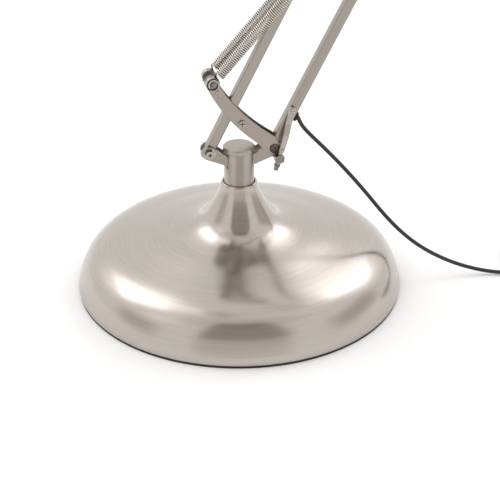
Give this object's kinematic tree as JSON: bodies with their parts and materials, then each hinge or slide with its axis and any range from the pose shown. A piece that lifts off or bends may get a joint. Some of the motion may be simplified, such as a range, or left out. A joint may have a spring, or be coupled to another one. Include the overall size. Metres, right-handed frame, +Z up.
{
  "type": "architect lamp",
  "caption": "Spring-balanced architect lamp: round domed base, turning post, two parallelogram arms with tension springs, bell shade and mains cord.",
  "frame": {"origin": "on the floor, under the post's axis", "axes": "+Z up; the lower arms lean towards +X and the arms move in the XZ plane; the mains cord leaves on the +X side"},
  "size_m": [0.7484, 0.4, 1.4682],
  "materials": {
    "satin_nickel": "satin brushed nickel plating",
    "nickel_fasteners": "bright nickel plating",
    "dark_steel": "plain dark steel",
    "spring_wire": "drawn spring wire",
    "cast_weight": "rough black casting",
    "floor_rubber": "matt black rubber",
    "nylon": "natural nylon",
    "bronze": "sintered bronze",
    "turned_aluminium": "as turned",
    "black_pvc": "smooth matt black sheath",
    "black_rubber": "moulded black rubber",
    "black_plastic": "moulded black plastic",
    "pin_plating": "nickel-plated brass",
    "opal_glass": "opal glass"
  },
  "bodies": {
    "base": {"base_shell": "satin_nickel", "floor_pad": "floor_rubber", "base_weight": "cast_weight", "stem": "dark_steel", "stem_nut": "dark_steel", "neck_bush": "nylon"},
    "post": {"post_sleeve": "satin_nickel", "post_core": "turned_aluminium", "post_cap": "satin_nickel", "top_bush": "bronze", "set_screws": "dark_steel", "bracket_plate_front": "satin_nickel", "bracket_plate_rear": "satin_nickel", "bracket_bolt": "nickel_fasteners", "bracket_nut": "nickel_fasteners", "bracket_washers": "nickel_fasteners", "rear_pivot_rivet": "nickel_fasteners", "stop_spacers": "nylon", "stop_screws": "nickel_fasteners", "bracket_spring_pin": "nickel_fasteners", "cord_run": "black_pvc", "cord_coil": "black_pvc", "cord_tail": "black_pvc", "cord_tie": "black_plastic", "plug_body": "black_plastic", "plug_pins": "pin_plating"},
    "trunnion": {"stay_trunnion": "satin_nickel"},
    "front_arm": {"front_lower_tube": "satin_nickel", "front_lower_bushes": "nylon", "front_arm_spring_pin": "nickel_fasteners", "lower_spring_front": "spring_wire", "lower_spring_rear": "spring_wire"},
    "rear_arm": {"rear_lower_tube": "satin_nickel", "rear_lower_bushes": "nylon", "lower_lead": "black_pvc", "cord_grommet": "black_rubber", "stay_screw": "nickel_fasteners"},
    "stay": {"stay_rod": "satin_nickel", "stay_nut": "nickel_fasteners"},
    "elbow": {"elbow_plates": "satin_nickel", "elbow_bolts": "nickel_fasteners", "elbow_nuts": "nickel_fasteners", "elbow_washers": "nickel_fasteners", "elbow_spring_pin": "nickel_fasteners"},
    "upper_main": {"upper_main_tube": "satin_nickel", "upper_main_bushes": "nylon", "main_arm_spring_pin": "nickel_fasteners", "upper_spring_front": "spring_wire", "upper_spring_rear": "spring_wire"},
    "upper_parallel": {"upper_parallel_tube": "satin_nickel", "upper_parallel_bushes": "nylon"},
    "head_bracket": {"head_plates": "satin_nickel", "head_bolts": "nickel_fasteners", "head_nuts": "nickel_fasteners"},
    "head": {"head_knuckle": "satin_nickel", "shade": "satin_nickel", "lampholder": "black_plastic", "bulb": "opal_glass", "switch_body": "satin_nickel"},
    "button": {"switch_button": "black_plastic"}
  },
  "joints": [
    {"name": "base_swivel", "type": "hinge", "parent": "base", "child": "post", "pos_m": [0, 0, 0.15], "axis": [0, 0, 1], "range_deg": [-170, 170]},
    {"name": "lower_arm_tilt", "type": "hinge", "parent": "post", "child": "front_arm", "pos_m": [-0.0372, 0, 0.1803], "axis": [0, 1, 0], "range_deg": [-10, 9.5], "deforming": ["lower_spring_front", "lower_spring_rear"]},
    {"name": "rear_arm_tilt", "type": "hinge", "parent": "post", "child": "rear_arm", "pos_m": [0.0413, 0, 0.1803], "axis": [0, 1, 0], "range_deg": [-10.2, 9.7], "deforming": ["cord_run"]},
    {"name": "stay_pivot", "type": "hinge", "parent": "rear_arm", "child": "stay", "pos_m": [0.06268, -0.0086, 0.22754], "axis": [0, 1, 0], "range_deg": [-1.7, 1.8]},
    {"name": "trunnion_turn", "type": "hinge", "parent": "post", "child": "trunnion", "pos_m": [0.0464, -0.013, 0.1689], "axis": [0, 1, 0], "range_deg": [-8.7, 8.4]},
    {"name": "elbow_level", "type": "hinge", "parent": "front_arm", "child": "elbow", "pos_m": [0.28059, 0, 0.804], "axis": [0, 1, 0], "range_deg": [-9.7, 10.2]},
    {"name": "upper_arm_tilt", "type": "hinge", "parent": "elbow", "child": "upper_main", "pos_m": [0.35909, 0, 0.85201], "axis": [0, 1, 0], "range_deg": [-22, 12], "deforming": ["upper_spring_front", "upper_spring_rear"]},
    {"name": "upper_parallel_tilt", "type": "hinge", "parent": "elbow", "child": "upper_parallel", "pos_m": [0.28059, 0, 0.85201], "axis": [0, 1, 0], "range_deg": [-22.5, 12.5]},
    {"name": "head_level", "type": "hinge", "parent": "upper_main", "child": "head_bracket", "pos_m": [0.00909, 0, 1.45822], "axis": [0, 1, 0], "range_deg": [-12.5, 22.5]},
    {"name": "head_tilt", "type": "hinge", "parent": "head_bracket", "child": "head", "pos_m": [-0.16941, 0, 1.45022], "axis": [0, 1, 0], "range_deg": [-10, 60]},
    {"name": "switch_press", "type": "slide", "parent": "head", "child": "button", "axis": [0, 0, -1], "range_m": [0, 0.0015], "stiffness_N_per_m": 300}
  ],
  "couplings": [
    {"joint": "rear_arm_tilt", "follows": "lower_arm_tilt", "ratio": 1},
    {"joint": "elbow_level", "follows": "lower_arm_tilt", "ratio": -1},
    {"joint": "stay_pivot", "follows": "lower_arm_tilt", "ratio": -0.158},
    {"joint": "trunnion_turn", "follows": "lower_arm_tilt", "ratio": 0.842},
    {"joint": "upper_parallel_tilt", "follows": "upper_arm_tilt", "ratio": 1},
    {"joint": "head_level", "follows": "upper_arm_tilt", "ratio": -1}
  ]
}
